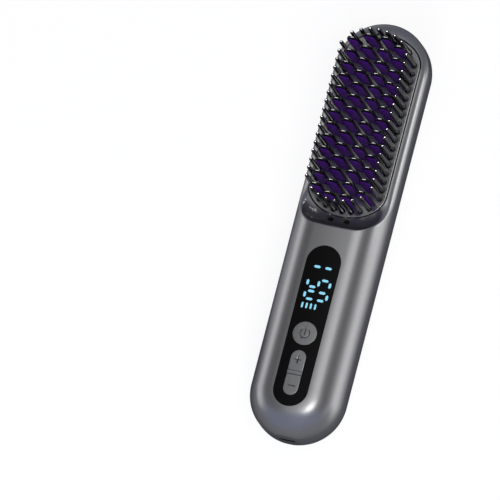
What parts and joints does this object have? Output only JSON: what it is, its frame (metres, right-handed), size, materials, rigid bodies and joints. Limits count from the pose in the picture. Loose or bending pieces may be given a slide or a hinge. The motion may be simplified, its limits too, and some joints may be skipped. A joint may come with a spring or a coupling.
{
  "type": "steam hair straightener brush",
  "caption": "Cordless steam hair straightener brush: capsule body, stepped-down head with capped heated fins and guard pins, handle panel with display and press keys, neck steam outlets.",
  "frame": {"origin": "on the rest plane under the middle of the body's length, with the brush lying on its back", "axes": "+X to the right of the face, +Y from the handle to the head, +Z out of the comb"},
  "size_m": [0.046, 0.2077, 0.0447],
  "materials": {
    "body_paint": "satin metallic grey lacquer on moulded ABS",
    "comb_grey": "satin grey moulded plastic",
    "black_nylon": "glossy black heat-proof nylon",
    "purple_coating": "purple ceramic-coated die-cast aluminium",
    "panel_black": "high-gloss black acrylic",
    "display_cyan": "lit cyan light guides",
    "key_grey": "satin grey painted keys",
    "steel": "zinc-plated steel",
    "nickel": "nickel strip",
    "mica": "pressed mica",
    "heater_foil": "ceramic heating element in aluminium foil",
    "sensor_epoxy": "epoxy-dipped sensor bead",
    "dark_plastic": "matt black heat-proof plastic",
    "board_green": "green solder mask",
    "switch_black": "tact switch housing",
    "cell_blue": "lithium cell can in a blue sleeve",
    "tank_clear": "milky polypropylene",
    "silicone_grey": "grey silicone",
    "piezo": "piezo ceramic on a steel mesh disc",
    "wick_cotton": "cotton wick"
  },
  "bodies": {
    "body": {"front_shell": "body_paint", "rear_shell": "body_paint", "shell_screws": "steel", "comb_plate": "comb_grey", "heating_plate": "purple_coating", "fin_caps": "black_nylon", "guard_pins": "black_nylon", "pin_carrier": "black_nylon", "heater_element": "heater_foil", "mica_sheet": "mica", "heater_clamp": "steel", "clamp_screws": "steel", "thermistor": "sensor_epoxy", "thermal_fuse": "nickel", "heat_tray": "dark_plastic", "control_panel": "panel_black", "display_segments": "display_cyan", "display_module": "dark_plastic", "key_divider": "key_grey", "tactile_switches": "switch_black", "main_board": "board_green", "battery_cells": "cell_blue", "battery_cradle": "dark_plastic", "battery_tabs": "nickel", "usb_socket": "steel", "charge_board": "board_green", "water_tank": "tank_clear", "tank_lid": "tank_clear", "mist_nozzle": "dark_plastic", "atomizer_disc": "piezo", "atomizer_gasket": "silicone_grey", "atomizer_holder": "dark_plastic", "wick": "wick_cotton"},
    "power_button": {"power_button": "key_grey"},
    "plus_key": {"plus_key": "key_grey"},
    "minus_key": {"minus_key": "key_grey"},
    "fill_plug": {"fill_plug": "silicone_grey"}
  },
  "joints": [
    {"name": "power_button_press", "type": "slide", "parent": "body", "child": "power_button", "axis": [0, 0, -1], "range_m": [0, 0.0005], "stiffness_N_per_m": 3000},
    {"name": "plus_key_press", "type": "slide", "parent": "body", "child": "plus_key", "axis": [0, 0, -1], "range_m": [0, 0.0005], "stiffness_N_per_m": 3000},
    {"name": "minus_key_press", "type": "slide", "parent": "body", "child": "minus_key", "axis": [0, 0, -1], "range_m": [0, 0.0005], "stiffness_N_per_m": 3000},
    {"name": "fill_plug_pull", "type": "slide", "parent": "body", "child": "fill_plug", "axis": [-1, 0, 0], "range_m": [0, 0.006]}
  ]
}
